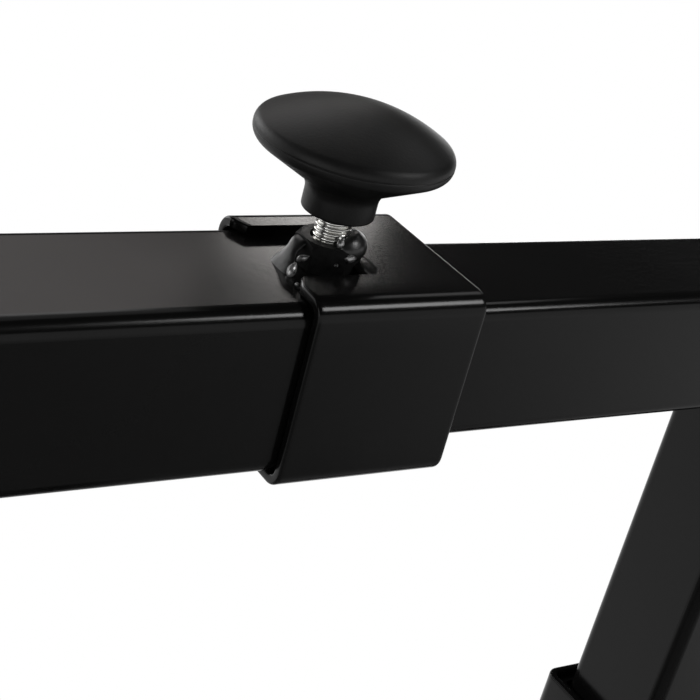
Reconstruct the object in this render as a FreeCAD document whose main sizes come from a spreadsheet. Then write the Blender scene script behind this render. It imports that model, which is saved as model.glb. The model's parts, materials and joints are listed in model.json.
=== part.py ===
import FreeCAD, Part
import math
import os

import Sketcher

# A height and width adjustable keyboard stand whose sides are Z shaped:
# floor bars, legs that lean to the front, and level arms from the leg tops to the rear.
# X runs along the crossbars, -Y is the knob side, Z is up; the origin is under the middle.

# Driving sizes in millimetres, the lean in degrees.
SIZES = {
    # square tubes
    "outer_side": 40,
    "outer_wall": 2.5,
    "outer_corner": 4,
    "slide_gap": 0.5,
    "inner_wall": 2,
    "inner_corner": 3.5,
    # stance
    "lean": 25,
    "leg_spread": 620,
    "foot_length": 460,
    "heel": 90,
    "lower_leg_length": 430,
    "leg_exposed": 118,
    "leg_overlap": 250,
    "lower_bar_rise": 120,
    "bar_exposed": 113,
    "bar_overlap": 312,
    # arms and their ribbed pads
    "arm_drop": 8,
    "pad_start": 58,
    "pad_end_gap": 18,
    "pad_base": 3.4,
    "rib_width": 4,
    "rib_gap": 1.6,
    "rib_height": 1.6,
    "rib_slope": 0.6,
    # clamp collars
    "collar_sheet": 2.5,
    "collar_length": 43,
    "collar_corner": 4.5,
    "collar_lip": 2,
    "notch_length": 21,
    "notch_width": 24,
    "notch_offset": 2,
    # clamp screws
    "clamp_setback": 14,
    "stud_diameter": 8,
    "stud_hole_gap": 0.5,
    "stud_grip": 14,
    "thread_fit": 0.05,
    "nut_flats": 13,
    "nut_height": 6.5,
    "tip_diameter": 4,
    "thrust_diameter": 7,
    "thrust_height": 2.2,
    "thrust_floor": 1,
    "clamp_gap": 0.05,
    # weld beads beside the nut
    "bead_width": 9,
    "bead_height": 5.8,
    "tube_bead_reach": 5.3,
    "collar_bead_reach": 8,
    "bead_round": 7,
    # knobs
    "knob_rise": 13,
    "knob_diameter": 43.2,
    "knob_height": 23.4,
    "knob_waist": 15.2,
    "knob_land": 0.3,
    "knob_round": 2.8,
    "flare_angle": 30.5,
    "stem_diameter": 15.5,
    "stem_height": 3.4,
    "stem_round": 4,
    # plastic end caps and guide plugs
    "cap_flange": 3,
    "cap_round": 1.2,
    "cap_insert": 14,
    "cap_wall": 2,
    "cap_fit": 0.2,
    # rubber glides under the floor bars
    "glide_height": 10,
    "glide_top": 34,
    "glide_bottom": 29,
    "glide_inset": 32,
    "recess_diameter": 12,
    "recess_depth": 5.5,
    "screw_head": 10,
    "screw_head_height": 4,
    "screw_shank": 5,
    "screw_fit": 0.1,
    "screw_reach": 4,
}
RIBS = 5

# Sizes that follow from the driving ones.
OUTER = "Sizes.outer_side"
OUTER_HALF = "(Sizes.outer_side / 2)"
BORE = "(Sizes.outer_side - 2 * Sizes.outer_wall)"
BORE_CORNER = "(Sizes.outer_corner - Sizes.outer_wall)"
INNER = f"({BORE} - 2 * Sizes.slide_gap)"
INNER_HALF = f"({INNER} / 2)"
INNER_BORE = f"({INNER} - 2 * Sizes.inner_wall)"
INNER_BORE_CORNER = "(Sizes.inner_corner - Sizes.inner_wall)"
COLLAR_TOP = f"({OUTER_HALF} + Sizes.collar_sheet)"
COLLAR_BORE_CORNER = "(Sizes.collar_corner - Sizes.collar_sheet)"

# Stations across the stand, from its middle.
LEG_X = "(Sizes.leg_spread / 2)"
BAR_END = f"({LEG_X} + {INNER_HALF})"
COLLAR_X = f"({LEG_X} - {INNER_HALF} - Sizes.bar_exposed - Sizes.collar_length)"
BAR_MOUTH = f"({COLLAR_X} + Sizes.collar_length - Sizes.collar_lip)"
INNER_BAR_START = f"({COLLAR_X} + Sizes.collar_length - Sizes.bar_overlap)"

# Stations up the leaning legs, from the top of the floor bar along the leg's middle.
LEG_COLLAR = "(Sizes.lower_leg_length + Sizes.collar_lip - Sizes.collar_length)"
UPPER_LEG_START = "(Sizes.lower_leg_length - Sizes.leg_overlap)"
TOP_BAR = f"(Sizes.lower_leg_length + Sizes.collar_lip + Sizes.leg_exposed + {INNER_HALF})"
FOOT_TOP = "(Sizes.glide_height + Sizes.outer_side)"
LEG_FOOT_Y = "(Sizes.foot_length / 2 - Sizes.heel)"
TOP_BAR_Y = f"({LEG_FOOT_Y} - {TOP_BAR} * sin(Sizes.lean))"
TOP_BAR_Z = f"({FOOT_TOP} + {TOP_BAR} * cos(Sizes.lean))"
ARM_LENGTH = f"(Sizes.foot_length / 2 - {TOP_BAR_Y})"
ARM_TOP = f"({TOP_BAR_Z} - Sizes.arm_drop + {INNER_HALF})"

# Stations along a clamp screw, from the middle of the tube.
NUT_FOOT = OUTER_HALF
THRUST_FOOT = f"({INNER_HALF} + Sizes.clamp_gap)"
THRUST_TOP = f"({THRUST_FOOT} + Sizes.thrust_height)"
KNOB_FOOT = f"({OUTER_HALF} + Sizes.knob_rise)"
STUD_RADIUS = "(Sizes.stud_diameter / 2)"

# Turns of a piece made along its own Z axis.
LEVEL_REAR = "rotationx(-90)"
LEVEL_FRONT = "rotationx(90)"
UPRIGHT = "rotationx(0)"
ALONG_BAR = "rotation(vector(1; 1; 1); 120)"
ALONG_LEG = "rotationz(180)"
DOWN_LEG = "rotationx(180)"
TO_LEFT = "rotationy(-90)"
TO_RIGHT = "rotationy(90)"
SCREW_ON_BAR = "rotationx(0)"
SCREW_ON_LEG = "rotationx(90) * rotationz(90)"

doc = FreeCAD.newDocument("keyboard_stand")
sheet = doc.addObject("Spreadsheet::Sheet", "Sizes")
for row, (alias, size) in enumerate(SIZES.items(), start=1):
    sheet.set(f"A{row}", alias)
    sheet.set(f"B{row}", str(size))
    sheet.setAlias(f"B{row}", alias)
doc.recompute()

nodes = []


def value(expression):
    """The present number of an expression on the sheet."""
    return float(sheet.evalExpression(expression))


def new_body(label):
    """An empty body with its own label."""
    body = doc.addObject("PartDesign::Body", label)
    body.Label = label
    return body


def new_sketch(body, role):
    """An empty sketch on one of the body's own origin planes."""
    plane = next(feature for feature in body.Origin.OriginFeatures if feature.Role == role)
    sketch = body.newObject("Sketcher::SketchObject", f"{body.Label}_sketch")
    sketch.AttachmentSupport = [(plane, "")]
    sketch.MapMode = "FlatFace"
    return sketch


def bind(sketch, constraint, expression):
    """Add a dimension to a sketch and tie it to the sheet."""
    index = sketch.addConstraint(constraint)
    sketch.setExpression(f"Constraints[{index}]", expression)


def fix_point(sketch, element, end, x, y):
    """Hold the end of a line or arc at x, y from the sketch's origin."""
    if x == "0":
        sketch.addConstraint(Sketcher.Constraint("PointOnObject", element, end, -2))
    else:
        bind(sketch, Sketcher.Constraint("DistanceX", -1, 1, element, end, value(x)), x)
    if y == "0":
        sketch.addConstraint(Sketcher.Constraint("PointOnObject", element, end, -1))
    else:
        bind(sketch, Sketcher.Constraint("DistanceY", -1, 1, element, end, value(y)), y)


def arc_between(start, end, radius, left_turn):
    """The short arc of a radius from start to end, drawn anticlockwise."""
    chord = end - start
    rise = math.sqrt(max(radius**2 - (chord.Length / 2) ** 2, 0))
    normal = FreeCAD.Vector(-chord.y, chord.x, 0).normalize()
    centre = (start + end) * 0.5 + normal * (rise if left_turn else -rise)
    first, last = (start, end) if left_turn else (end, start)
    angles = [math.atan2(point.y - centre.y, point.x - centre.x) for point in (first, last)]
    circle = Part.Circle(centre, FreeCAD.Vector(0, 0, 1), radius)
    return Part.ArcOfCircle(circle, angles[0], angles[1])


def outline(sketch, corners):
    """A closed outline; a corner is (x, y), or (x, y, radius, turn) where an arc leads on from it."""
    ends = []
    points = [FreeCAD.Vector(value(corner[0]), value(corner[1]), 0) for corner in corners]
    for index, corner in enumerate(corners):
        start = points[index]
        end = points[(index + 1) % len(points)]
        if len(corner) == 2:
            element = sketch.addGeometry(Part.LineSegment(start, end))
            ends.append((element, 1, 2))
        else:
            left_turn = corner[3] == "left"
            element = sketch.addGeometry(arc_between(start, end, value(corner[2]), left_turn))
            ends.append((element, 1, 2) if left_turn else (element, 2, 1))
    for index, corner in enumerate(corners):
        element, first, last = ends[index]
        following, following_first, _ = ends[(index + 1) % len(ends)]
        sketch.addConstraint(
            Sketcher.Constraint("Coincident", element, last, following, following_first)
        )
        fix_point(sketch, element, first, corner[0], corner[1])
        if len(corner) == 4:
            bind(sketch, Sketcher.Constraint("Radius", element, value(corner[2])), corner[2])


def rounded_square(sketch, side, corner):
    """A square about the sketch's origin with rounded corners."""
    half = f"({side} / 2)"
    flat = f"({side} / 2 - {corner})"
    outline(
        sketch,
        [
            (flat, f"-{half}", corner, "left"),
            (half, f"-{flat}"),
            (half, flat, corner, "left"),
            (flat, half),
            (f"-{flat}", half, corner, "left"),
            (f"-{half}", flat),
            (f"-{half}", f"-{flat}", corner, "left"),
            (f"-{flat}", f"-{half}"),
        ],
    )


def circle(sketch, y, diameter):
    """A circle on the sketch's upright axis."""
    centre = FreeCAD.Vector(0, value(y), 0)
    upward = FreeCAD.Vector(0, 0, 1)
    element = sketch.addGeometry(Part.Circle(centre, upward, value(diameter) / 2))
    fix_point(sketch, element, 3, "0", y)
    bind(sketch, Sketcher.Constraint("Diameter", element, value(diameter)), diameter)


def pad(body, sketch, length, side="One side", reverse=False):
    """Extrude a sketch."""
    feature = body.newObject("PartDesign::Pad", f"{body.Label}_extrusion")
    feature.Profile = sketch
    feature.SideType = side
    feature.Reversed = reverse
    feature.setExpression("Length", length)
    return feature


def cut_through(body, sketch, side="One side"):
    """Cut a sketch through all that lies behind it, or on both sides of it."""
    feature = body.newObject("PartDesign::Pocket", f"{body.Label}_cut")
    feature.Profile = sketch
    feature.Type = "ThroughAll"
    feature.SideType = side
    return feature


def turned(label, corners):
    """A solid of revolution about its own Z axis; corners are (radius, height)."""
    body = new_body(label)
    sketch = new_sketch(body, "XZ_Plane")
    outline(sketch, corners)
    feature = body.newObject("PartDesign::Revolution", f"{label}_turn")
    feature.Profile = sketch
    feature.ReferenceAxis = (sketch, ["V_Axis"])
    return body


def place(body, x, y, z, turn):
    """Set a piece level with the floor."""
    body.setExpression("Placement", f"placement(vector({x}; {y}; {z}); {turn})")


def place_leaning(body, x, station, turn):
    """Set a piece on the leaning plane of the legs, at a station up the leg."""
    y = f"{LEG_FOOT_Y} - {station} * sin(Sizes.lean)"
    z = f"{FOOT_TOP} + {station} * cos(Sizes.lean)"
    place(body, x, y, z, f"rotationx(Sizes.lean) * {turn}")


def keep(piece):
    """Count a finished piece as one of the stand's own."""
    nodes.append(piece)


def group(label, pieces):
    """Keep several like solids as one piece."""
    compound = doc.addObject("Part::Compound", label)
    compound.Label = label
    compound.Links = pieces
    keep(compound)


def tube(label, side, bore, corner, bore_corner, length, holes=()):
    """A square tube along Z with round holes, (station, diameter), in its +Y wall."""
    body = new_body(label)
    section = new_sketch(body, "XY_Plane")
    rounded_square(section, side, corner)
    rounded_square(section, bore, bore_corner)
    pad(body, section, length)
    if holes:
        hole_sketch = new_sketch(body, "XZ_Plane")
        for station, diameter in holes:
            circle(hole_sketch, station, diameter)
        cut_through(body, hole_sketch)
    keep(body)
    return body


def outer_tube(label, length, holes=()):
    """A tube of the outer size."""
    return tube(label, OUTER, BORE, "Sizes.outer_corner", BORE_CORNER, length, holes)


def inner_tube(label, length):
    """A tube that slides in the outer size."""
    return tube(label, INNER, INNER_BORE, "Sizes.inner_corner", INNER_BORE_CORNER, length)


def end_cap(label, side, corner, bore, bore_corner):
    """A plastic cap: a flange from Z = 0 up, and a hollow insert below it."""
    body = new_body(label)
    flange_sketch = new_sketch(body, "XY_Plane")
    rounded_square(flange_sketch, side, corner)
    flange = pad(body, flange_sketch, "Sizes.cap_flange")
    doc.recompute()
    faces = flange.Shape.Faces
    outside = max(range(len(faces)), key=lambda index: faces[index].CenterOfMass.z)
    rim = body.newObject("PartDesign::Fillet", f"{label}_rim")
    rim.Base = (flange, [f"Face{outside + 1}"])
    rim.setExpression("Radius", "Sizes.cap_round")
    insert_side = f"({bore} - 2 * Sizes.cap_fit)"
    insert_sketch = new_sketch(body, "XY_Plane")
    rounded_square(insert_sketch, insert_side, bore_corner)
    hollow = f"({insert_side} - 2 * Sizes.cap_wall)"
    rounded_square(insert_sketch, hollow, bore_corner)
    pad(body, insert_sketch, "Sizes.cap_insert", reverse=True)
    return body


def outer_cap(label):
    """A cap for the outer tube."""
    return end_cap(label, OUTER, "Sizes.outer_corner", BORE, BORE_CORNER)


def inner_cap(label):
    """A cap or guide plug for the inner tube."""
    return end_cap(label, INNER, "Sizes.inner_corner", INNER_BORE, INNER_BORE_CORNER)


def lower_leg(label, x):
    """An outer tube cut level where it stands on the floor bar, with the clamp's hole near its top."""
    reach = f"({OUTER} * tan(Sizes.lean))"
    stud_hole = "(Sizes.stud_diameter + 2 * Sizes.stud_hole_gap)"
    station = f"({LEG_COLLAR} + Sizes.clamp_setback)"
    body = outer_tube(label, "Sizes.lower_leg_length", [(station, stud_hole)])
    heel_sketch = new_sketch(body, "XY_Plane")
    rounded_square(heel_sketch, OUTER, "Sizes.outer_corner")
    rounded_square(heel_sketch, BORE, BORE_CORNER)
    pad(body, heel_sketch, reach, reverse=True)
    sole = new_sketch(body, "YZ_Plane")
    outline(
        sole,
        [
            (f"-{OUTER}", f"-{reach}"),
            (OUTER, reach),
            (OUTER, f"-2 * {reach}"),
            (f"-{OUTER}", f"-2 * {reach}"),
        ],
    )
    cut_through(body, sole, "Symmetric")
    place_leaning(body, x, "0", ALONG_LEG)


def arm(label, x, bar_half):
    """An inner tube whose front end is coped to the leaning crossbar and the leg below it."""
    body = inner_tube(label, ARM_LENGTH)

    def on_side(across, along):
        """A point behind the crossbar's middle, in the arm's side view."""
        down = f"(-{across} * sin(Sizes.lean) - {along} * cos(Sizes.lean) - Sizes.arm_drop)"
        back = f"({across} * cos(Sizes.lean) - {along} * sin(Sizes.lean))"
        return down, back

    front = f"(-2 * {OUTER})"
    cope = new_sketch(body, "YZ_Plane")
    outline(
        cope,
        [
            on_side(bar_half, OUTER),
            on_side(bar_half, f"(-{bar_half})"),
            on_side(INNER_HALF, f"(-{bar_half} - Sizes.clamp_gap)"),
            on_side(INNER_HALF, front),
            (on_side(INNER_HALF, front)[0], front),
            (on_side(bar_half, OUTER)[0], front),
        ],
    )
    cut_through(body, cope, "Symmetric")
    place(body, x, TOP_BAR_Y, f"{TOP_BAR_Z} - Sizes.arm_drop", LEVEL_REAR)


def arm_pad(label, x):
    """A rubber strip on the arm with flat-topped ribs along it."""
    body = new_body(label)
    profile = new_sketch(body, "XY_Plane")
    step = "(Sizes.rib_width + Sizes.rib_gap)"
    half = f"(({RIBS} * {step} - Sizes.rib_gap) / 2)"
    groove = "(-Sizes.pad_base)"
    crest = "(-Sizes.pad_base - Sizes.rib_height)"
    corners = [(half, "0"), (f"-{half}", "0")]
    for rib in range(RIBS):
        left = f"(-{half} + {rib} * {step})"
        right = f"({left} + Sizes.rib_width)"
        corners.append((left, groove))
        corners.append((f"({left} + Sizes.rib_slope)", crest))
        corners.append((f"({right} - Sizes.rib_slope)", crest))
        corners.append((right, groove))
    outline(profile, corners)
    length = f"({ARM_LENGTH} - Sizes.pad_start - Sizes.pad_end_gap)"
    pad(body, profile, length)
    place(body, x, f"{TOP_BAR_Y} + Sizes.pad_start", ARM_TOP, LEVEL_REAR)
    keep(body)


def collar(label):
    """A sleeve of sheet round the mouth of the outer tube, with a notch for the nut in its +Y wall."""
    body = new_body(label)
    section = new_sketch(body, "XY_Plane")
    rounded_square(section, f"(2 * {COLLAR_TOP})", "Sizes.collar_corner")
    rounded_square(section, OUTER, COLLAR_BORE_CORNER)
    pad(body, section, "Sizes.collar_length")
    notch = new_sketch(body, "XZ_Plane")
    near = "(Sizes.notch_offset - Sizes.notch_width / 2)"
    far = "(Sizes.notch_offset + Sizes.notch_width / 2)"
    outside = "(-Sizes.collar_lip)"
    outline(
        notch,
        [
            (near, outside),
            (far, outside),
            (far, "Sizes.notch_length"),
            (near, "Sizes.notch_length"),
        ],
    )
    cut_through(body, notch)
    keep(body)
    return body


def weld_beads(label, x, station, turn):
    """Two beads: from the tube up to the nut, and from the nut over the collar."""
    near_flat = "(Sizes.clamp_setback - Sizes.nut_flats / 2)"
    far_flat = "(Sizes.clamp_setback + Sizes.nut_flats / 2)"
    bead_top = f"({OUTER_HALF} + Sizes.bead_height)"
    outlines = {
        "on_tube": [
            (OUTER_HALF, f"({near_flat} - Sizes.tube_bead_reach)"),
            (OUTER_HALF, near_flat),
            (bead_top, near_flat, "Sizes.bead_round", "right"),
        ],
        "on_collar": [
            (COLLAR_TOP, far_flat),
            (bead_top, far_flat, "Sizes.bead_round", "left"),
            (COLLAR_TOP, f"({far_flat} + Sizes.collar_bead_reach)"),
        ],
    }
    beads = []
    for side, corners in outlines.items():
        body = new_body(f"{label}_{side}")
        profile = new_sketch(body, "YZ_Plane")
        outline(profile, corners)
        pad(body, profile, "Sizes.bead_width", "Symmetric")
        place_leaning(body, x, station, turn)
        beads.append(body)
    group(label, beads)


def weld_nut(label):
    """A hex nut on the tube, two of its flats across the tube."""
    body = new_body(label)
    section = new_sketch(body, "XY_Plane")
    flat = "(Sizes.nut_flats / 2)"
    point = f"({flat} * 2 / sqrt(3))"
    outline(
        section,
        [
            (flat, f"(-{point} / 2)"),
            (flat, f"({point} / 2)"),
            ("0", point),
            (f"-{flat}", f"({point} / 2)"),
            (f"-{flat}", f"(-{point} / 2)"),
            ("0", f"-{point}"),
        ],
    )
    circle(section, "0", "(Sizes.stud_diameter + 2 * Sizes.thread_fit)")
    pad(body, section, f"{NUT_FOOT} + Sizes.nut_height")
    root = new_sketch(body, "XY_Plane")
    circle(root, "0", "(3 * Sizes.nut_flats)")
    below = body.newObject("PartDesign::Pocket", f"{label}_below")
    below.Profile = root
    below.Type = "Length"
    below.Reversed = True
    below.setExpression("Length", NUT_FOOT)
    keep(body)
    return body


def knob(label):
    """A mushroom knob: stem, conical flare, rounded edge with the parting land, and a dome."""
    radius = "(Sizes.knob_diameter / 2)"
    stem = "(Sizes.stem_diameter / 2)"
    bore = f"({STUD_RADIUS} + Sizes.thread_fit)"
    waist = f"({KNOB_FOOT} + Sizes.knob_waist)"
    rim = f"({waist} + Sizes.knob_land)"
    top = f"({KNOB_FOOT} + Sizes.knob_height)"
    stem_top = f"({KNOB_FOOT} + Sizes.stem_height)"
    bore_end = f"({KNOB_FOOT} + Sizes.stud_grip)"

    flare_sin = "sin(Sizes.flare_angle)"
    flare_cos = "cos(Sizes.flare_angle)"
    flare_start = f"({stem} + Sizes.stem_round * (1 - {flare_sin}))"
    flare_foot = f"({stem_top} + Sizes.stem_round * {flare_cos})"
    flare_rise = f"(({radius} - {flare_start}) * tan(Sizes.flare_angle))"
    edge = f"(({waist} - {flare_foot} - {flare_rise}) * {flare_cos} / (1 - {flare_sin}))"
    flare_end = f"({radius} - {edge} * (1 - {flare_sin}))"

    dome = "(Sizes.knob_height - Sizes.knob_waist - Sizes.knob_land)"
    across = f"({radius} - Sizes.knob_round)"
    crown = f"(({across}^2 + {dome}^2 - Sizes.knob_round^2) / (2 * ({dome} - Sizes.knob_round)))"
    share = f"({crown} / ({crown} - Sizes.knob_round))"
    crown_centre = f"({top} - {crown})"
    body = turned(
        label,
        [
            (bore, KNOB_FOOT),
            (stem, KNOB_FOOT),
            (stem, stem_top, "Sizes.stem_round", "right"),
            (flare_start, flare_foot),
            (flare_end, f"({waist} - {edge} * {flare_cos})", edge, "left"),
            (radius, waist),
            (radius, rim, "Sizes.knob_round", "left"),
            (
                f"({across} * {share})",
                f"({crown_centre} + ({rim} - {crown_centre}) * {share})",
                crown,
                "left",
            ),
            ("0", top),
            ("0", bore_end),
            (bore, bore_end),
        ],
    )
    keep(body)
    return body


def stud(label):
    """A threaded rod from the knob down to a thin tip in the thrust pad."""
    tip = "(Sizes.tip_diameter / 2)"
    tip_end = f"({THRUST_FOOT} + Sizes.thrust_floor + Sizes.clamp_gap)"
    shoulder = f"({THRUST_TOP} + Sizes.clamp_gap)"
    head = f"({KNOB_FOOT} + Sizes.stud_grip)"
    body = turned(
        label,
        [
            ("0", tip_end),
            (tip, tip_end),
            (tip, shoulder),
            (STUD_RADIUS, shoulder),
            (STUD_RADIUS, head),
            ("0", head),
        ],
    )
    keep(body)
    return body


def thrust_pad(label):
    """A nylon button that the stud's tip turns in; it presses on the inner tube."""
    radius = "(Sizes.thrust_diameter / 2)"
    socket = "(Sizes.tip_diameter / 2 + Sizes.thread_fit)"
    floor = f"({THRUST_FOOT} + Sizes.thrust_floor)"
    body = turned(
        label,
        [
            ("0", THRUST_FOOT),
            (radius, THRUST_FOOT),
            (radius, THRUST_TOP),
            (socket, THRUST_TOP),
            (socket, floor),
            ("0", floor),
        ],
    )
    keep(body)
    return body


def clamp(name, x, station, along, screw_turn, on_leg):
    """One clamp: collar, weld beads, nut, stud, knob and thrust pad, at the collar's own start."""
    place_leaning(collar(f"{name}_clamp_collar"), x, station, along)
    weld_beads(f"{name}_clamp_welds", x, station, along)
    setback = "Sizes.clamp_setback"
    screw_x = x if on_leg else f"({x} + {setback})"
    screw_station = f"({station} + {setback})" if on_leg else station
    for make, piece in ((weld_nut, "nut"), (stud, "stud"), (knob, "knob"), (thrust_pad, "thrust_pad")):
        place_leaning(make(f"{name}_clamp_{piece}"), screw_x, screw_station, screw_turn)


def glide(label):
    """A tapered rubber foot with a recess for its screw's head."""
    shank = "(Sizes.screw_shank / 2 + Sizes.screw_fit)"
    recess = "(Sizes.recess_diameter / 2)"
    return turned(
        label,
        [
            (recess, "0"),
            ("(Sizes.glide_bottom / 2)", "0"),
            ("(Sizes.glide_top / 2)", "Sizes.glide_height"),
            (shank, "Sizes.glide_height"),
            (shank, "Sizes.recess_depth"),
            (recess, "Sizes.recess_depth"),
        ],
    )


def glide_screw(label):
    """A pan head screw up through the glide and the wall of the floor bar."""
    shank = "(Sizes.screw_shank / 2)"
    head = "(Sizes.screw_head / 2)"
    head_foot = "(Sizes.recess_depth - Sizes.screw_head_height)"
    end = "(Sizes.glide_height + Sizes.outer_wall + Sizes.screw_reach)"
    return turned(
        label,
        [
            ("0", head_foot),
            (head, head_foot),
            (head, "Sizes.recess_depth"),
            (shank, "Sizes.recess_depth"),
            (shank, end),
            ("0", end),
        ],
    )


def floor_bar(side, x):
    """A floor bar with its caps, glides and glide screws."""
    screw_hole = "(Sizes.screw_shank + 2 * Sizes.screw_fit)"
    stations = ("Sizes.glide_inset", "(Sizes.foot_length - Sizes.glide_inset)")
    bar = outer_tube(f"{side}_foot", "Sizes.foot_length", [(s, screw_hole) for s in stations])
    middle = f"(Sizes.glide_height + {OUTER_HALF})"
    place(bar, x, "(-Sizes.foot_length / 2)", middle, LEVEL_REAR)
    caps = []
    for end, y, turn in (
        ("front", "(-Sizes.foot_length / 2)", LEVEL_FRONT),
        ("rear", "(Sizes.foot_length / 2)", LEVEL_REAR),
    ):
        cap = outer_cap(f"{side}_foot_{end}_cap")
        place(cap, x, y, middle, turn)
        caps.append(cap)
    group(f"{side}_foot_caps", caps)
    for make, name in ((glide, "glide"), (glide_screw, "glide_screw")):
        pieces = []
        for end, sign in (("front", "-"), ("rear", "")):
            piece = make(f"{side}_{end}_{name}")
            y = f"({sign}1 * (Sizes.foot_length / 2 - Sizes.glide_inset))"
            place(piece, x, y, "0", UPRIGHT)
            pieces.append(piece)
        group(f"{side}_{name}s", pieces)


def crossbar(name, station, left_end, right_end):
    """A telescopic crossbar with its guide plug and clamp."""
    stud_hole = "(Sizes.stud_diameter + 2 * Sizes.stud_hole_gap)"
    hole = f"({COLLAR_X} + Sizes.clamp_setback + {left_end})"
    outer = outer_tube(f"{name}_bar_outer", f"({BAR_MOUTH} + {left_end})", [(hole, stud_hole)])
    place_leaning(outer, f"(-{left_end})", station, ALONG_BAR)
    inner = inner_tube(f"{name}_bar_inner", f"({right_end} - {INNER_BAR_START})")
    place_leaning(inner, INNER_BAR_START, station, ALONG_BAR)
    plug = inner_cap(f"{name}_bar_plug")
    place_leaning(plug, INNER_BAR_START, station, TO_LEFT)
    keep(plug)
    clamp(name, COLLAR_X, station, ALONG_BAR, SCREW_ON_BAR, on_leg=False)


def side_frame(side, sign, bar_half):
    """Floor bar, telescopic leaning leg with its clamp, and the arm with its pad and cap."""
    x = f"({sign}1 * {LEG_X})"
    floor_bar(side, x)
    lower_leg(f"{side}_lower_leg", x)
    upper = inner_tube(f"{side}_upper_leg", f"({TOP_BAR} - {bar_half} - {UPPER_LEG_START})")
    place_leaning(upper, x, UPPER_LEG_START, ALONG_LEG)
    plug = inner_cap(f"{side}_leg_plug")
    place_leaning(plug, x, UPPER_LEG_START, DOWN_LEG)
    keep(plug)
    clamp(f"{side}_leg", x, LEG_COLLAR, ALONG_LEG, SCREW_ON_LEG, on_leg=True)
    arm(f"{side}_arm", x, bar_half)
    arm_pad(f"{side}_arm_pad", x)
    arm_cap = inner_cap(f"{side}_arm_cap")
    place(arm_cap, x, "(Sizes.foot_length / 2)", f"{TOP_BAR_Z} - Sizes.arm_drop", LEVEL_REAR)
    keep(arm_cap)


lower_reach = f"({LEG_X} - {OUTER_HALF})"
crossbar("top", TOP_BAR, BAR_END, BAR_END)
crossbar("lower", "Sizes.lower_bar_rise", lower_reach, lower_reach)
side_frame("left", "-", OUTER_HALF)
side_frame("right", "", INNER_HALF)
for name, make, x, turn in (
    ("top_bar_left_cap", outer_cap, f"(-{BAR_END})", TO_LEFT),
    ("top_bar_right_cap", inner_cap, BAR_END, TO_RIGHT),
):
    bar_cap = make(name)
    place_leaning(bar_cap, x, TOP_BAR, turn)
    keep(bar_cap)

doc.recompute()
for item in doc.Objects:
    if "Invalid" in item.State or "Error" in item.State:
        raise RuntimeError(f"{item.Label} failed: {item.State}")
for node in nodes:
    if node.Shape.isNull() or not node.Shape.isValid():
        raise RuntimeError(f"{node.Label} has no valid shape")

os.makedirs("parts", exist_ok=True)
for node in nodes:
    node.Shape.exportStep(os.path.join("parts", f"{node.Label}.step"))
    print(f"{node.Label}: {len(node.Shape.Solids)} solid, {node.Shape.Volume:.1f} mm3")
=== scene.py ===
import json
import math

import bmesh
import bpy
import numpy as np
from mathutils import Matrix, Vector


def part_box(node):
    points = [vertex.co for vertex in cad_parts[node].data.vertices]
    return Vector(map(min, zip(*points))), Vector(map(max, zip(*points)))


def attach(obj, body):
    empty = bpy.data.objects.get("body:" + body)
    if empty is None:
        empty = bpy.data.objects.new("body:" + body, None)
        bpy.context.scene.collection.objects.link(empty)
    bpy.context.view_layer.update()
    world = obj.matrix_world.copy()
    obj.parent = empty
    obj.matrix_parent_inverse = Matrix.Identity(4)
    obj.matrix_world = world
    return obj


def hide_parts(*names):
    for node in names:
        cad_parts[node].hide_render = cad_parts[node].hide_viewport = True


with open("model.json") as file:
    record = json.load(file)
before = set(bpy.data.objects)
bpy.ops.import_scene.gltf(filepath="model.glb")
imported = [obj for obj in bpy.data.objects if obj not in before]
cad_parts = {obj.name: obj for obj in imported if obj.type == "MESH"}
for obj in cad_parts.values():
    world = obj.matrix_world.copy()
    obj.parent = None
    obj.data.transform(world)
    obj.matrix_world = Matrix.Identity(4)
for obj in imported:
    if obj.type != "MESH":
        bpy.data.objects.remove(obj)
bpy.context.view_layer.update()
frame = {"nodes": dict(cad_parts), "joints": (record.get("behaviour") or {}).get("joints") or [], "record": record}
MM = 0.001

# The leaning frame: along the crossbars, through the legs to the rear, and up the legs.
joint_axes = {joint["name"]: joint["axis"] for joint in frame["joints"]}
ALONG = np.array((1.0, 0.0, 0.0))
UP_LEG = np.array(joint_axes["left_height_slide"], float)
THROUGH = np.cross(UP_LEG, ALONG)
FORWARD = -THROUGH

# Sizes of the clamps in millimetres, as they are in the frame; heights are from the tube's middle.
OUTER_SIDE = 40.0
COLLAR_SHEET = 2.5
COLLAR_LENGTH = 43.0
COLLAR_CORNER = 4.5
NOTCH_LENGTH = 21.0
NOTCH_NEAR = -10.0
NOTCH_FAR = 14.0
SCREW_STATION = 14.0
STUD_RADIUS = 4.0
STUD_START = 19.35
STUD_GRIP = 3.0
THREAD_PITCH = 1.25
THREAD_DEPTH = 0.62
THREAD_FIT = 0.05
NUT_FLATS = 13.0
NUT_FOOT = 20.0
NUT_HEIGHT = 6.5
KNOB_FOOT = 33.0
KNOB_RADIUS = 21.6
KNOB_WAIST = 15.2
KNOB_HEIGHT = 23.38
KNOB_LAND = 0.3
KNOB_ROUND = 2.8
FLARE_DEGREES = 30.5
STEM_RADIUS = 8.0
STEM_HEIGHT = 3.4
STEM_ROUND = 4.0

# Each clamp: the body that carries it, the way its tube opens, and its screw's axis.
CLAMPS = {
    "top": ("left_top", ALONG, UP_LEG),
    "lower": ("left_base", ALONG, UP_LEG),
    "left_leg": ("left_base", UP_LEG, FORWARD),
    "right_leg": ("right_base", UP_LEG, FORWARD),
}


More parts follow.
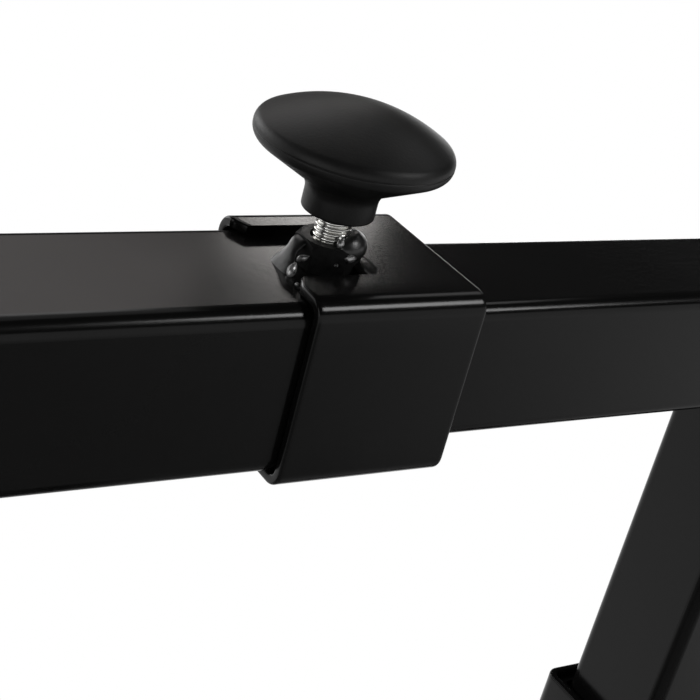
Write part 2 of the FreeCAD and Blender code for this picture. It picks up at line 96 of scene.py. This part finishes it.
class ClampFrame:
    """Millimetres at a clamp: along its tube from the collar's closed side, across it, and out of it."""

    def __init__(self, name):
        self.body, self.along, self.out = CLAMPS[name]
        self.across = np.cross(self.out, self.along)
        self.axes = np.stack((self.along, self.across, self.out))
        low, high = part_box(f"{name}_clamp_collar")
        middle = np.array((low + high) / 2)
        self.origin = middle - self.along * COLLAR_LENGTH / 2 * MM

    def place(self, points):
        """The clamp's own millimetres as metres in the stand's frame."""
        return self.origin + np.asarray(points) @ self.axes * MM


# Meshes from grids of points


def grid_faces(rows, columns, wrap_rows, wrap_columns):
    """Quads between neighbouring rows and columns of a grid, wrapped where asked."""
    index = np.arange(rows * columns).reshape(rows, columns)
    if wrap_rows:
        index = np.vstack((index, index[:1]))
    if wrap_columns:
        index = np.hstack((index, index[:, :1]))
    corners = (index[:-1, :-1], index[:-1, 1:], index[1:, 1:], index[1:, :-1])
    return np.stack(corners, axis=-1).reshape(-1, 4)


def capped(grid):
    """A grid that closes round its columns and ends in poles, with how its rows and columns wrap."""
    return grid, False, True


def looped(grid):
    """A grid that closes both ways, with how its rows and columns wrap."""
    return grid, True, True


def open_sheet(grid):
    """A grid that closes neither way, with how its rows and columns wrap."""
    return grid, False, False


def piece_from_grids(name, grids, material, sharp_degrees=40.0):
    """One object from grids of points; doubled points at poles are merged and faces turned out."""
    points, faces, start = [], [], 0
    for grid, wrap_rows, wrap_columns in grids:
        rows, columns = grid.shape[:2]
        points.append(grid.reshape(-1, 3))
        faces.append(grid_faces(rows, columns, wrap_rows, wrap_columns) + start)
        start += rows * columns
    mesh = bpy.data.meshes.new(name)
    mesh.from_pydata(np.concatenate(points).tolist(), [], np.concatenate(faces).tolist())
    work = bmesh.new()
    work.from_mesh(mesh)
    bmesh.ops.remove_doubles(work, verts=work.verts, dist=1e-7)
    bmesh.ops.dissolve_degenerate(work, edges=work.edges, dist=1e-8)
    bmesh.ops.recalc_face_normals(work, faces=work.faces)
    work.to_mesh(mesh)
    work.free()
    mesh.shade_smooth()
    mesh.set_sharp_from_angle(angle=math.radians(sharp_degrees))
    mesh.materials.append(material)
    piece = bpy.data.objects.new(name, mesh)
    bpy.context.scene.collection.objects.link(piece)
    return piece


def full_turn(count):
    """Angles of a whole turn in equal steps, the last one short of the first."""
    return np.linspace(0, 2 * math.pi, count, endpoint=False)


def arc(centre, radius, start, end, count):
    """Points on a circular arc, angles in degrees, as (x, y) rows."""
    angle = np.radians(np.linspace(start, end, count))
    return np.column_stack((centre[0] + radius * np.cos(angle), centre[1] + radius * np.sin(angle)))


def round_axis(radius, angle, height):
    """Points at radii and heights, each turned by its angle about the height axis."""
    return np.stack((radius * np.cos(angle), radius * np.sin(angle), height + 0 * angle), axis=-1)


# Shader nodes


class Wire:
    """A shader socket that sums and products can be written with."""

    def __init__(self, paint, socket):
        self.paint = paint
        self.socket = socket

    def math(self, operation, other):
        return self.paint.node("ShaderNodeMath", {"operation": operation}, {0: self, 1: other})

    def __add__(self, other):
        return self.math("ADD", other)

    __radd__ = __add__

    def __mul__(self, other):
        return self.math("MULTIPLY", other)

    __rmul__ = __mul__


class Paint:
    """The nodes of a material, or of the world, under construction."""

    def __init__(self, owner):
        self.owner = owner
        owner.use_nodes = True
        self.tree = owner.node_tree
        self.tree.nodes.clear()

    def node(self, kind, settings=None, sockets=None, output=0):
        """Add a node: its settings first, then the values or links of its sockets."""
        node = self.tree.nodes.new(kind)
        for key, setting in (settings or {}).items():
            setattr(node, key, setting)
        for key, value in (sockets or {}).items():
            if isinstance(value, Wire):
                self.tree.links.new(value.socket, node.inputs[key])
            else:
                node.inputs[key].default_value = value
        return Wire(self, node.outputs[output]) if node.outputs else None

    def coordinates(self):
        """Object coordinates in metres."""
        return self.node("ShaderNodeTexCoord", output="Object")

    def noise(self, scale, detail=2.0, roughness=0.5):
        """Noise from 0 to 1 with features of about 1 / scale metres."""
        sockets = {"Vector": self.coordinates(), "Scale": scale, "Detail": detail, "Roughness": roughness}
        return self.node("ShaderNodeTexNoise", sockets=sockets)

    def ramp(self, factor, low, high):
        """0 below low, 1 above high, smooth between."""
        sockets = {"Value": factor, "From Min": low, "From Max": high}
        return self.node("ShaderNodeMapRange", {"interpolation_type": "SMOOTHSTEP"}, sockets)

    def mix(self, factor, first, second):
        """A colour between two colours, on the colour sockets of a mix."""
        sockets = {0: factor, 6: first, 7: second}
        return self.node("ShaderNodeMix", {"data_type": "RGBA"}, sockets, output=2)

    def bump(self, height, strength, distance):
        """A bumped normal from a height."""
        sockets = {"Height": height, "Strength": strength, "Distance": distance}
        return self.node("ShaderNodeBump", sockets=sockets)

    def ray(self, kind):
        """1 for the rays of one kind, 0 for others."""
        return self.node("ShaderNodeLightPath", output=f"Is {kind} Ray")

    def output(self, surface, kind="ShaderNodeOutputMaterial"):
        """Close the nodes with a surface, and give back what they belong to."""
        self.node(kind, sockets={"Surface": surface})
        return self.owner

    def finish(self, **sockets):
        """Close the material with a Principled shader; socket names are written with underscores."""
        named = {key.replace("_", " "): value for key, value in sockets.items()}
        return self.output(self.node("ShaderNodeBsdfPrincipled", sockets=named))


def new_paint(name):
    """A material of that name, with no nodes yet."""
    return Paint(bpy.data.materials.new(name))


def grey(level, warmth=0.0):
    """An opaque grey, a little warm where asked."""
    return (level * (1 + warmth), level, level * (1 - warmth), 1.0)


# Finishes


def powder_coat():
    """Satin black powder coat: orange peel, a fine grain and faint cloudiness in its gloss."""
    paint = new_paint("black_powder_coat")
    peel = paint.noise(620.0, 1.5)
    grain = paint.noise(3600.0, 2.0)
    cloud = paint.noise(24.0, 3.0, 0.55)
    return paint.finish(
        Base_Color=paint.mix(cloud, grey(0.0035), grey(0.007, 0.02)),
        Roughness=0.12 + cloud * 0.09 + grain * 0.03,
        Specular_IOR_Level=0.15,
        Normal=paint.bump(peel + grain * 0.25, 0.035, 0.00022),
    )


def weld_paint(name, unevenness, gloss):
    """Thick paint that has run over weld beads, or over the nut's flats."""
    paint = new_paint(name)
    ripple = paint.noise(900.0, 2.0)
    pits = paint.noise(2600.0, 1.0)
    return paint.finish(
        Base_Color=paint.mix(ripple, grey(0.006), grey(0.014)),
        Roughness=0.24 + ripple * 0.22,
        Specular_IOR_Level=gloss,
        Normal=paint.bump(ripple + pits * 0.3, unevenness, 0.0004),
    )


def worn_spatter():
    """Drops of weld metal where the paint is thin and grey steel shows through."""
    paint = new_paint("worn_spatter")
    wear = paint.ramp(paint.noise(900.0, 3.0), 0.38, 0.68)
    ripple = paint.noise(1400.0, 2.0)
    return paint.finish(
        Base_Color=paint.mix(wear, grey(0.02), grey(0.45)),
        Metallic=wear * 0.8,
        Roughness=0.26 + ripple * 0.2,
        Specular_IOR_Level=0.6,
        Normal=paint.bump(ripple, 0.15, 0.0003),
    )


def zinc():
    """Bright zinc plating with a faint yellow and blue cast and fine drawn scratches."""
    paint = new_paint("bright_zinc")
    cast = paint.noise(260.0, 3.0)
    scratch = paint.noise(5200.0, 2.0)
    return paint.finish(
        Base_Color=paint.mix(cast, (0.60, 0.58, 0.52, 1.0), (0.74, 0.75, 0.76, 1.0)),
        Metallic=1.0,
        Roughness=0.15 + scratch * 0.13,
        Normal=paint.bump(scratch, 0.03, 0.0001),
    )


def moulded_plastic(name, level, grain_scale, roughness):
    """Matte moulded plastic with a spark-eroded grain and a faint bloom."""
    paint = new_paint(name)
    grain = paint.noise(grain_scale, 2.0, 0.6)
    bloom = paint.noise(55.0, 4.0, 0.6)
    return paint.finish(
        Base_Color=paint.mix(paint.ramp(bloom, 0.35, 0.75), grey(level), grey(level * 1.7, 0.02)),
        Roughness=roughness + bloom * 0.10,
        Specular_IOR_Level=0.22,
        Normal=paint.bump(grain, 0.22, 0.00016),
    )


def rubber():
    """Dull black rubber with fine dust in its grain."""
    paint = new_paint("black_rubber")
    grain = paint.noise(2200.0, 3.0, 0.6)
    dust = paint.ramp(paint.noise(140.0, 4.0, 0.65), 0.55, 0.85)
    return paint.finish(
        Base_Color=paint.mix(dust * 0.5, grey(0.012), grey(0.035, 0.03)),
        Roughness=0.62 + grain * 0.2,
        Specular_IOR_Level=0.35,
        Normal=paint.bump(grain, 0.3, 0.0002),
    )


def nylon():
    """Natural nylon, faintly mottled."""
    paint = new_paint("white_nylon")
    mottle = paint.noise(300.0, 3.0)
    return paint.finish(
        Base_Color=paint.mix(mottle, (0.66, 0.64, 0.58, 1.0), (0.78, 0.77, 0.73, 1.0)),
        Roughness=0.45 + mottle * 0.1,
        Normal=paint.bump(mottle, 0.15, 0.0002),
    )


FINISHES = {
    "black_powder_coat": powder_coat(),
    "painted_weld": weld_paint("painted_weld", 0.14, 0.45),
    "zinc_steel": zinc(),
    "knob_plastic": moulded_plastic("knob_plastic", 0.006, 1500.0, 0.42),
    "cap_plastic": moulded_plastic("cap_plastic", 0.012, 1100.0, 0.5),
    "white_nylon": nylon(),
    "black_rubber": rubber(),
}
NUT_FINISH = weld_paint("painted_nut", 0.04, 0.12)
SPATTER_FINISH = worn_spatter()
for subpart in frame["record"]["subparts"]:
    node_mesh = frame["nodes"][subpart["node"]].data
    node_mesh.materials.clear()
    node_mesh.materials.append(FINISHES[subpart["material_slot"]])


# Clamp screws


def threaded_stud():
    """A stud: radius falls by a cubed sine once each pitch, and the groove climbs one pitch each turn."""
    around, rows_per_pitch, skin = 48, 16, 0.02
    length = KNOB_FOOT + STUD_GRIP - STUD_START
    rows = int(length / THREAD_PITCH * rows_per_pitch)
    angle = full_turn(around)
    height = np.linspace(STUD_START, STUD_START + length, rows)[:, None]
    phase = height / THREAD_PITCH - angle / (2 * math.pi)
    valley = np.abs(np.sin(math.pi * phase)) ** 3
    run_in = np.clip((height - STUD_START) / THREAD_PITCH, 0, 1)
    radius = STUD_RADIUS - skin - THREAD_DEPTH * (1 - (1 - valley) * run_in)
    ends = [np.broadcast_to((0.0, 0.0, z), (1, around, 3)) for z in (height[0, 0], height[-1, 0])]
    return np.concatenate((ends[0], round_axis(radius, angle, height), ends[1]))


def knob_grid():
    """The knob's half section turned about its axis.

    The section runs up the bore, down to the stem's foot, up the stem and the conical flare, round
    the edge, across the shallow parting groove, and over the rim's round to the dome's arc.
    """
    foot, waist, top = KNOB_FOOT, KNOB_FOOT + KNOB_WAIST, KNOB_FOOT + KNOB_HEIGHT
    skirt, skirt_round, bore_depth, bore_ease = foot - 0.5, 0.6, 2.0, 0.4
    bore = STUD_RADIUS + THREAD_FIT
    flare = math.radians(FLARE_DEGREES)
    stem_top = foot + STEM_HEIGHT
    flare_start = STEM_RADIUS + STEM_ROUND * (1 - math.sin(flare))
    flare_foot = stem_top + STEM_ROUND * math.cos(flare)
    spare = waist - flare_foot - (KNOB_RADIUS - flare_start) * math.tan(flare)
    edge = spare * math.cos(flare) / (1 - math.sin(flare))
    rim, dome = waist + KNOB_LAND, top - waist - KNOB_LAND
    across = KNOB_RADIUS - KNOB_ROUND
    crown = (across**2 + dome**2 - KNOB_ROUND**2) / (2 * (dome - KNOB_ROUND))
    lean = math.degrees(math.atan2(rim - top + crown, across))
    lip, groove = KNOB_RADIUS - 0.03, KNOB_RADIUS - 0.12
    section = np.concatenate(
        (
            [(0.0, foot + bore_depth), (bore, foot + bore_depth)],
            [(bore, skirt + bore_ease), (bore + bore_ease, skirt)],
            arc((STEM_RADIUS - skirt_round, skirt + skirt_round), skirt_round, -90, 0, 6),
            arc((STEM_RADIUS + STEM_ROUND, stem_top), STEM_ROUND, 180, 90 + FLARE_DEGREES, 14),
            arc((KNOB_RADIUS - edge, waist), edge, FLARE_DEGREES - 90, -3, 14),
            [(lip, waist), (groove, waist + 0.1), (groove, waist + 0.2)],
            arc((across, rim), KNOB_ROUND, 2, lean, 14),
            arc((0.0, top - crown), crown, lean + 0.8, 90, 36),
        )
    )
    return round_axis(section[:, 0:1], full_turn(128), section[:, 1:2])


def nut_grid():
    """A hex nut: a six-sided radius by angle, chamfered at its top by a cone, with a plain bore."""
    around, bore_ease = 96, 0.5
    angle = full_turn(around)
    sector = (angle + math.pi / 6) % (math.pi / 3) - math.pi / 6
    hexagon = NUT_FLATS / 2 / np.cos(sector)
    foot, top = NUT_FOOT + 0.02, NUT_FOOT + NUT_HEIGHT
    bore = STUD_RADIUS + THREAD_FIT
    chamfer = NUT_FLATS / 2 * 0.985
    rise = (hexagon - chamfer) * math.tan(math.radians(30))
    rows = (
        (bore, foot),
        (hexagon, foot),
        (hexagon, top - rise),
        (chamfer, top),
        (bore + bore_ease, top),
        (bore, top - bore_ease),
    )
    return np.stack([round_axis(radius, angle, height) for radius, height in rows])


def on_screw(grid):
    """A grid about the screw's axis, moved to its station along the tube."""
    return grid + np.array((SCREW_STATION, 0.0, 0.0))


# Weld beads


def waves(points, seed):
    """Smooth irregular waves about 0: sines along twelve fixed directions, finer ones lower."""
    dice = np.random.default_rng(seed)
    scale = np.repeat((1.0, 2.0, 4.0), 4)
    directions = dice.normal(size=(12, 3)) * 1.5 * scale[:, None]
    phases = dice.uniform(0, 2 * math.pi, 12)
    return (np.sin(points @ directions.T + phases) / scale).sum(axis=-1) / 4


def lump(centre, half, seed, rough, rows=30, columns=44):
    """An ellipsoid whose radius swells and dips with irregular waves over the sphere."""
    polar = np.linspace(0, math.pi, rows)[:, None]
    unit = round_axis(np.sin(polar), full_turn(columns), np.cos(polar))
    swell = 1 + rough * waves(unit, seed)
    return np.asarray(centre) + unit * swell[..., None] * np.asarray(half)


def bead(path, half_width, half_height, seed, rough, square, rows=56, columns=48):
    """A bead along a path in the tube's long section: a superellipse across it, closed at the ends."""
    share = np.linspace(0, 1, rows)
    knots = np.linspace(0, 1, len(path))
    line = np.stack([np.interp(share, knots, column) for column in np.transpose(path)], axis=-1)
    reach = 6
    kernel = np.hanning(2 * reach + 1) / np.hanning(2 * reach + 1).sum()
    padded = np.pad(line, ((reach, reach), (0, 0)), mode="reflect", reflect_type="odd")
    line = np.stack([np.convolve(column, kernel, "valid") for column in padded.T], axis=-1)
    way = np.gradient(line, axis=0)
    way[:, 1] = 0
    way /= np.linalg.norm(way, axis=1, keepdims=True)
    normal = np.stack((-way[:, 2], 0 * share, way[:, 0]), axis=-1)
    closing = np.sqrt(np.clip(1 - np.abs(2 * share - 1) ** 3, 0, 1))
    width, height = (
        np.interp(share, np.linspace(0, 1, len(half)), half) * closing for half in (half_width, half_height)
    )
    turn = full_turn(columns)[:, None]
    wide, high = (np.sign(wave) * np.abs(wave) ** square for wave in (np.cos(turn), np.sin(turn)))
    side = np.array((0.0, 1.0, 0.0)) * wide * width[:, None, None]
    rise = normal[:, None, :] * high * height[:, None, None]
    swell = 1 + rough * waves(line[:, None, :] / 3 + side / 3 + rise / 3, seed)
    return line[:, None, :] + (side + rise) * swell[..., None]


def round_stud(grid, bend):
    """A grid bent round the stud: distances from its axis, clear of it, and arcs at the bend's radius."""
    distance = np.maximum(grid[..., 0], STUD_RADIUS + WELD_CLEAR)
    return on_screw(round_axis(distance, grid[..., 1] / bend, grid[..., 2]))


# How far the welds stay clear of the stud, and the radius that the round bead is bent to.
WELD_CLEAR = 0.25
BLOB_BEND = 5.2
# The fin's middle line from the tube up to the nut's rim, and its half sizes there.
FIN_PATH = (
    (1.2, -1.2, 18.6),
    (2.6, -1.0, 20.0),
    (4.0, -0.4, 21.6),
    (5.4, 0.4, 23.6),
    (6.8, 1.0, 25.2),
    (9.2, 1.2, 25.8),
)
FIN_WIDTHS = (4.8, 4.3, 3.0, 2.2, 2.4, 3.2)
FIN_HEIGHTS = (0.8, 0.7, 0.7, 0.8, 0.9, 0.7)
# Runs of spatter: a path and half sizes along it; balls of spatter: a centre and a half size.
SPATTER_RUNS = (
    (((2.2, -5.0, 19.8), (3.0, -4.6, 20.8), (4.3, -3.9, 22.6)), (0.7, 1.0, 0.6)),
    (((4.9, -2.8, 22.3), (5.8, -3.2, 23.1), (7.2, -3.8, 24.0)), (0.6, 0.9, 0.5)),
    (((12.6, -5.4, 26.5), (13.1, -5.3, 27.6), (13.9, -5.0, 28.8)), (0.6, 0.8, 0.5)),
    (((13.3, -6.6, 25.0), (14.6, -7.4, 24.8), (16.4, -7.5, 25.2)), (0.5, 0.8, 0.6)),
)
SPATTER_BALLS = (((12.3, -6.9, 23.2), 0.5), ((1.6, -9.8, 20.6), 0.5), ((25.0, 8.4, 22.9), 0.6))


def weld_grids(seed):
    """A flared fin and a round bead beside the nut, and their run-outs, in the clamp's own millimetres."""
    fin = bead(FIN_PATH, FIN_WIDTHS, FIN_HEIGHTS, seed, rough=0.16, square=0.85)
    blob = lump((BLOB_BEND, -3.6, 25.8), (2.9, 5.6, 3.2), seed + 2, 0.08, rows=44, columns=64)
    skirt = lump((22.0, 4.2, 22.6), (2.6, 5.8, 1.4), seed + 3, 0.2)
    return [fin, round_stud(blob, BLOB_BEND), skirt]


def spatter_grids(seed):
    """Runs and balls of weld spatter round the nut, in the clamp's own millimetres."""
    drops = [bead(path, size, size, seed + 5, 0.3, 1.0, 24, 20) for path, size in SPATTER_RUNS]
    flattening = np.array((1.0, 1.0, 0.8))
    balls = [lump(centre, size * flattening, seed + 9, 0.2, 12, 16) for centre, size in SPATTER_BALLS]
    return drops + balls


# Collars


def notch_start(across):
    """Where the sheet starts along the tube: 0, eased in beside the notch's mouth, or the notch's end."""
    corner, mouth_depth, mouth_width = 1.2, 2.0, 5.0
    inside = np.minimum(across - NOTCH_NEAR, NOTCH_FAR - across)
    lack = corner - np.clip(inside, 0, corner)
    spare = 1 - np.clip(-inside, 0, mouth_width) / mouth_width
    end = NOTCH_LENGTH - corner + np.sqrt(corner**2 - lack**2)
    return np.where(inside > 0, end, mouth_depth * spare**1.5)


def collar_grid():
    """A square sleeve of sheet: an eased loop through the sheet, carried round a rounded square."""
    flat = OUTER_SIDE / 2 + COLLAR_SHEET - COLLAR_CORNER
    ease = np.array((0.02, 0.1, 0.3, 0.6, 1.2, 2.5))
    notch_middle = (NOTCH_NEAR + NOTCH_FAR) / 2
    in_notch = np.concatenate((NOTCH_NEAR + ease, (notch_middle,), NOTCH_FAR - ease[::-1]))
    beside = np.array((0.0, 0.1, 0.4, 0.9, 1.5, 2.2, 3.0, 3.9))
    across = np.concatenate((NOTCH_NEAR - beside[::-1], in_notch, NOTCH_FAR + beside))
    plain = np.linspace(-flat, flat, 7)[1:-1]
    bend = np.radians(np.linspace(0, 90, 12))
    centres, turns, starts = [], [], []
    for quarter, run in enumerate((-across[::-1], plain, plain, plain)):
        angle = math.radians(90 + 90 * quarter)
        out = np.array((math.cos(angle), math.sin(angle)))
        way = np.array((-math.sin(angle), math.cos(angle)))
        centres += [out * flat + run[:, None] * way, np.broadcast_to((out + way) * flat, (len(bend), 2))]
        turns += [np.full(len(run), angle), angle + bend]
        starts += [notch_start(-run) if quarter == 0 else 0 * run, 0 * bend]
    centre, turn, start = (np.concatenate(parts) for parts in (centres, turns, starts))

    edge, sheet = 0.75, COLLAR_SHEET - 0.04
    swing = np.radians(np.linspace(0, 90, 6))
    inset = edge * np.concatenate((1 - np.sin(swing), 1 - np.cos(swing)))
    depth = np.concatenate((edge * (1 - np.cos(swing)), sheet - edge * (1 - np.sin(swing))))
    near_end = start[:, None] + inset
    far_end = COLLAR_LENGTH - inset[::-1] + 0 * start[:, None]
    share = np.array((0.015, 0.05, 0.12, 0.25, 0.45, 0.65, 0.82, 0.93, 0.985))
    run = near_end[:, -1:] + share * (far_end[:, :1] - near_end[:, -1:])
    along = np.concatenate((near_end, run, far_end, run[:, ::-1]), axis=1)
    flats = 0 * share
    radius = COLLAR_CORNER - np.concatenate((depth, flats + sheet, depth[::-1], flats))
    normal = np.stack((np.cos(turn), np.sin(turn)), axis=-1)
    ring = centre[:, None, :] + radius[:, None] * normal[:, None, :]
    return np.concatenate((along[..., None], ring), axis=-1)


def corner_fill(seed):
    """Coated weld metal that fills the notch's near corner: a flat lump, a little above the sheet."""
    return lump((21.4, -4.6, 21.75), (3.4, 9.0, 0.85), seed + 4, 0.02)


def seat(piece, body, slot, *nodes):
    """Let a new piece ride on a body, in place of CAD nodes; its slot argument is not used."""
    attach(piece, body)
    if nodes:
        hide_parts(*nodes)


def dress_clamp(name):
    """The visible pieces of one clamp."""
    clamp = ClampFrame(name)
    seed = len(name)
    thread_grids = [capped(clamp.place(on_screw(threaded_stud())))]
    thread = piece_from_grids(f"{name}_thread", thread_grids, FINISHES["zinc_steel"], 60.0)
    seat(thread, f"{name}_knob", "zinc_steel", f"{name}_clamp_stud")

    knob_grids = [capped(clamp.place(on_screw(knob_grid())))]
    knob = piece_from_grids(f"{name}_mushroom_knob", knob_grids, FINISHES["knob_plastic"])
    seat(knob, f"{name}_knob", "knob_plastic", f"{name}_clamp_knob")

    nut_grids = [looped(clamp.place(on_screw(nut_grid())))]
    nut = piece_from_grids(f"{name}_hex_nut", nut_grids, NUT_FINISH, 25.0)
    seat(nut, clamp.body, "painted_weld", f"{name}_clamp_nut")

    bead_grids = [capped(clamp.place(grid)) for grid in weld_grids(seed)]
    beads = piece_from_grids(f"{name}_weld_beads", bead_grids, FINISHES["painted_weld"], 80.0)
    seat(beads, clamp.body, "painted_weld", f"{name}_clamp_welds")

    drop_grids = [capped(clamp.place(grid)) for grid in spatter_grids(seed)]
    spatter = piece_from_grids(f"{name}_weld_spatter", drop_grids, SPATTER_FINISH, 80.0)
    seat(spatter, clamp.body, "painted_weld")

    sleeve_grids = [looped(clamp.place(collar_grid())), capped(clamp.place(corner_fill(seed)))]
    sleeve = piece_from_grids(f"{name}_sleeve", sleeve_grids, FINISHES["black_powder_coat"], 50.0)
    seat(sleeve, clamp.body, "black_powder_coat", f"{name}_clamp_collar")


for clamp_name in CLAMPS:
    dress_clamp(clamp_name)

# Camera: measured from the edges in the photograph, in millimetres at the upper clamp.
CAMERA_PLACE = (-183.46, -269.70, 162.82)
CAMERA_AIM = (0.55430, 0.71023, -0.43397)
CAMERA_LENS = 87.10
SENSOR_WIDTH = 36.0

scene = bpy.context.scene
top_clamp = ClampFrame("top")


def aim(thing, place, way):
    """Put a camera or a lamp at a place, looking along a way."""
    thing.location = place
    thing.rotation_mode = "QUATERNION"
    thing.rotation_quaternion = way.to_track_quat("-Z", "Y")
    scene.collection.objects.link(thing)


camera_data = bpy.data.cameras.new("camera")
camera_data.lens = CAMERA_LENS
camera_data.sensor_width = SENSOR_WIDTH
camera = bpy.data.objects.new("camera", camera_data)
aim(camera, Vector(top_clamp.place(CAMERA_PLACE)), Vector(np.array(CAMERA_AIM) @ top_clamp.axes))
scene.camera = camera

# Studio, in metres.
FLOOR_HALF = 30.0
FLOOR_DROP = 0.0002
SHADOW_NEAR, SHADOW_FAR = 0.55, 1.15
NEAR_WHITE = 0.45
BACKDROP_AWAY = 9.0
BACKDROP_SIDES = (-24.0, 26.0)
BACKDROP_HEIGHT = 3.4
FILL_LIGHT = 0.03


def plain_white(paint):
    """Even white light of strength 1."""
    return paint.node("ShaderNodeEmission", sockets={"Color": grey(1.0), "Strength": 1.0})


def floor_finish():
    """Pale matte floor that keeps the stand's shadow near it and runs out to plain white."""
    paint = new_paint("pale_floor")
    colour = paint.mix(paint.noise(9.0, 3.0), grey(0.62), grey(0.66))
    matte = paint.node("ShaderNodeBsdfDiffuse", sockets={"Color": colour})
    level = {0: paint.coordinates(), 1: (1, 1, 0)}
    flat = paint.node("ShaderNodeVectorMath", {"operation": "MULTIPLY"}, level)
    distance = paint.node("ShaderNodeVectorMath", {"operation": "LENGTH"}, {0: flat}, "Value")
    away = paint.ramp(distance, SHADOW_NEAR, SHADOW_FAR)
    seen = away.math("MAXIMUM", NEAR_WHITE) * paint.ray("Camera")
    share = seen.math("MAXIMUM", away * paint.ray("Glossy"))
    surface = paint.node("ShaderNodeMixShader", sockets={0: share, 1: matte, 2: plain_white(paint)})
    return paint.output(surface)


def backdrop_finish():
    """Plain white paper, evenly lit."""
    paint = new_paint("white_backdrop")
    return paint.output(plain_white(paint))


def studio_world():
    """White where it is looked at, and an even fill light otherwise."""
    paint = Paint(bpy.data.worlds.new("studio"))
    seen = paint.ray("Camera").math("MAXIMUM", paint.ray("Transmission"))
    strength = FILL_LIGHT + seen * (1 - FILL_LIGHT)
    light = paint.node("ShaderNodeBackground", sockets={"Color": grey(1.0), "Strength": strength})
    return paint.output(light, "ShaderNodeOutputWorld")


def stage_sheet(name, grid, material):
    """A flat sheet of the studio, from a grid of its corners."""
    sheet = piece_from_grids(name, [open_sheet(np.stack(grid, axis=-1))], material)


floor_x, floor_y = np.meshgrid((-FLOOR_HALF, FLOOR_HALF), (-FLOOR_HALF, FLOOR_HALF))
stage_sheet("floor", (floor_x, floor_y, 0 * floor_x - FLOOR_DROP), floor_finish())
wall_x, wall_z = np.meshgrid(BACKDROP_SIDES, (0.0, BACKDROP_HEIGHT))
stage_sheet("backdrop", (wall_x, 0 * wall_x + BACKDROP_AWAY, wall_z), backdrop_finish())
scene.world = studio_world()

# Lamps: place, target and size in the upper clamp's millimetres, power in watts, and colour.
WHITE, WARM, ROSY = (1.0, 1.0, 1.0), (1.0, 0.97, 0.94), (1.0, 0.94, 0.92)
LAMPS = {
    "rear_window": ((115, 480, 275), (-60, 0, 20), (280, 150), 0.145, ROSY),
    "rear_strip": ((406, 600, 300), (12, 17, 22), (60, 34), 0.055, WARM),
    "rear_strip_end": ((466, 617, 300), (32, 17, 22), (60, 16), 0.05, WARM),
    "rear_left": ((-700, 800, 280), (6, 0, 24), (900, 700), 3.2, WHITE),
    "rear_low": ((1115, 1000, -66), (43, 0, 22), (500, 300), 1.5, WHITE),
    "front_right": ((900, -760, 1050), (20, -20, 20), (380, 380), 8.0, WHITE),
    "left_fill": ((-1116, -298, 323), (14, 0, 30), (500, 500), 2.2, WHITE),
    "rear_fill": ((-400, 2200, 300), (0, 0, -200), (900, 900), 12.0, WHITE),
    "knob_top": ((60, 160, 300), (14, 0, 55), (240, 200), 0.08, WHITE),
    "knob_left": ((70, 300, 285), (0, 0, 55), (200, 100), 0.09, WHITE),
    "knob_right": ((215, 70, 245), (18, -13, 54), (80, 80), 0.034, WHITE),
}


def soft_box(name, place, target, size, power, colour):
    """A rectangular lamp at a place, aimed at a target."""
    lamp_data = bpy.data.lights.new(name, "AREA")
    lamp_data.shape = "RECTANGLE"
    lamp_data.size, lamp_data.size_y = size[0] * MM, size[1] * MM
    lamp_data.energy = power
    lamp_data.color = colour
    lamp = bpy.data.objects.new(name, lamp_data)
    lamp.visible_camera = False
    start = Vector(top_clamp.place(place))
    aim(lamp, start, Vector(top_clamp.place(target)) - start)


for lamp_name, lamp_values in LAMPS.items():
    soft_box(lamp_name, *lamp_values)

scene.view_settings.view_transform = "Standard"
